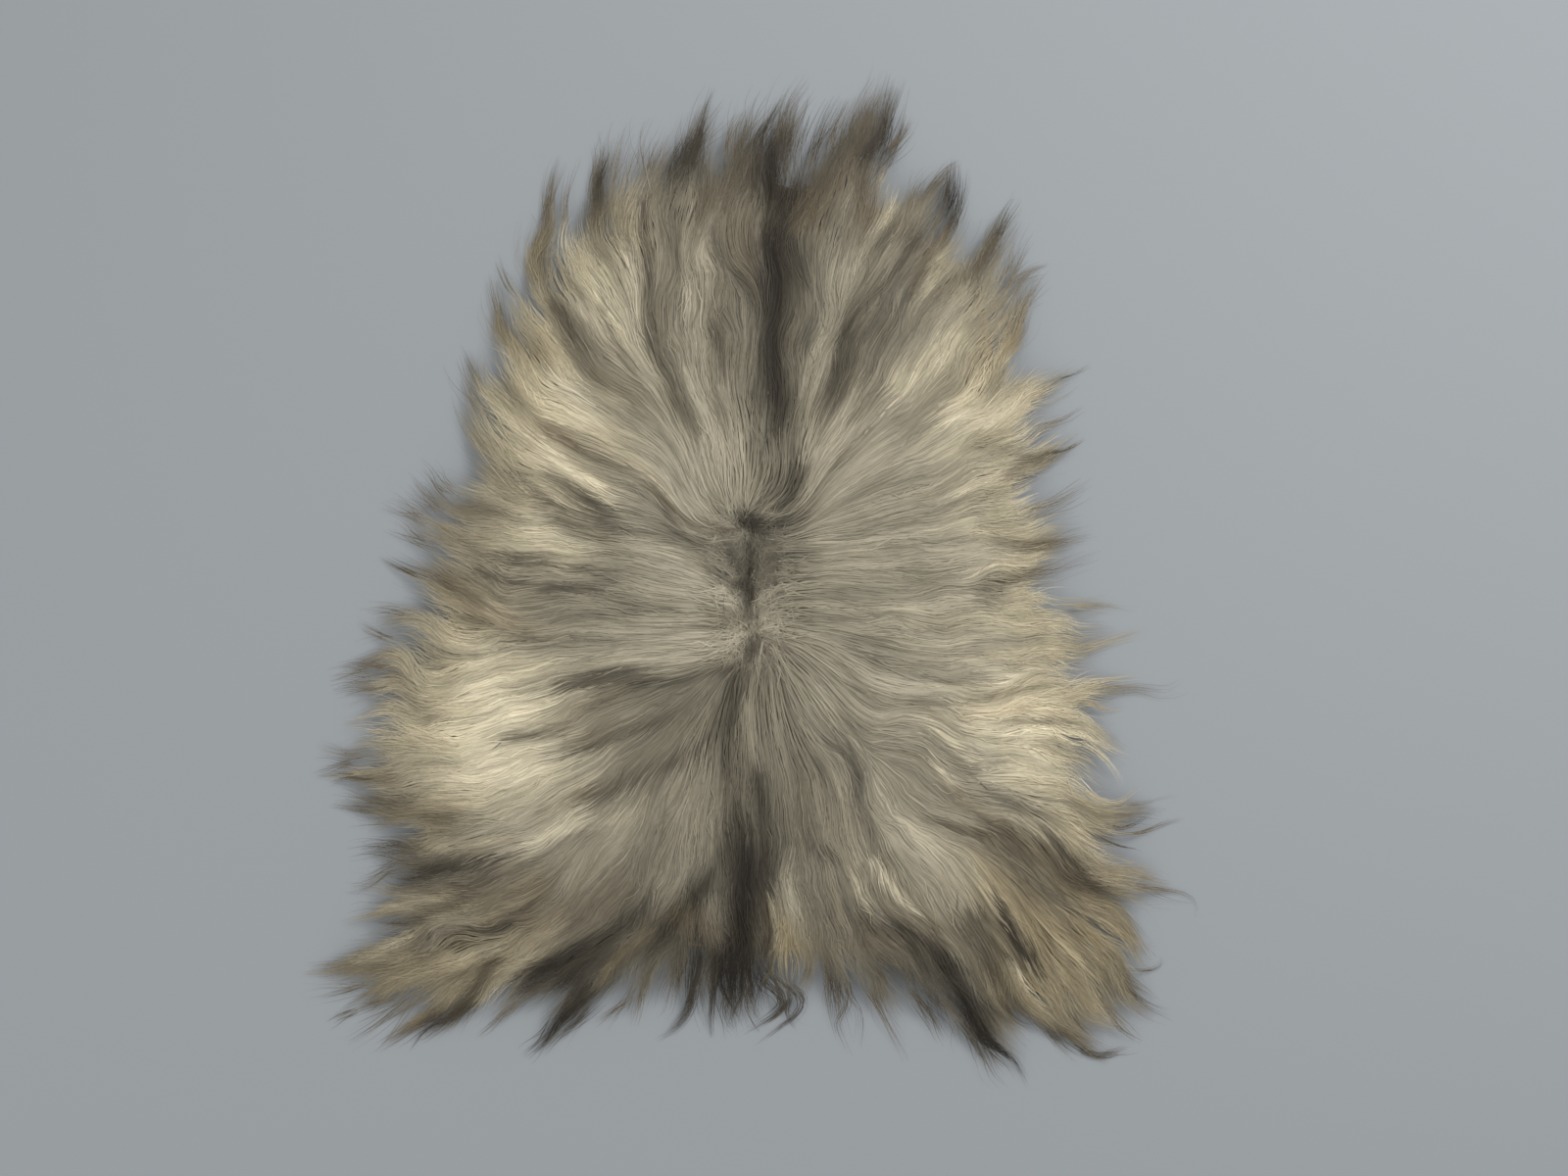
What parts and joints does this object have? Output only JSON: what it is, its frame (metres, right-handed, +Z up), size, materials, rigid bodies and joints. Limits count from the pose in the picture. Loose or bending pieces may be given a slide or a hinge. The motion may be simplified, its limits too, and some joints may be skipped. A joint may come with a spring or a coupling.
{
  "type": "icelandic sheepskin",
  "caption": "Whole tanned sheepskin with its long wavy wool on, lying flat with the wool side up: a throw or rug to lay on a floor, bench or chair.",
  "frame": {"origin": "middle of the wool's footprint, on the surface that the skin lies on", "axes": "+Y along the animal's back towards the neck, the narrow end; +X to the right of that, seen from above; +Z up, out of the wool side"},
  "size_m": [0.86, 0.994, 0.0532],
  "materials": {
    "wool": "long wavy undyed wool, grey-brown with cream and near-black locks, softly glossy along the fibres",
    "hide": "tanned skin side, pale suede with a soft nap, seen only from below and along the cut edge"
  },
  "bodies": {
    "root": {"sheepskin": "wool"}
  },
  "joints": []
}
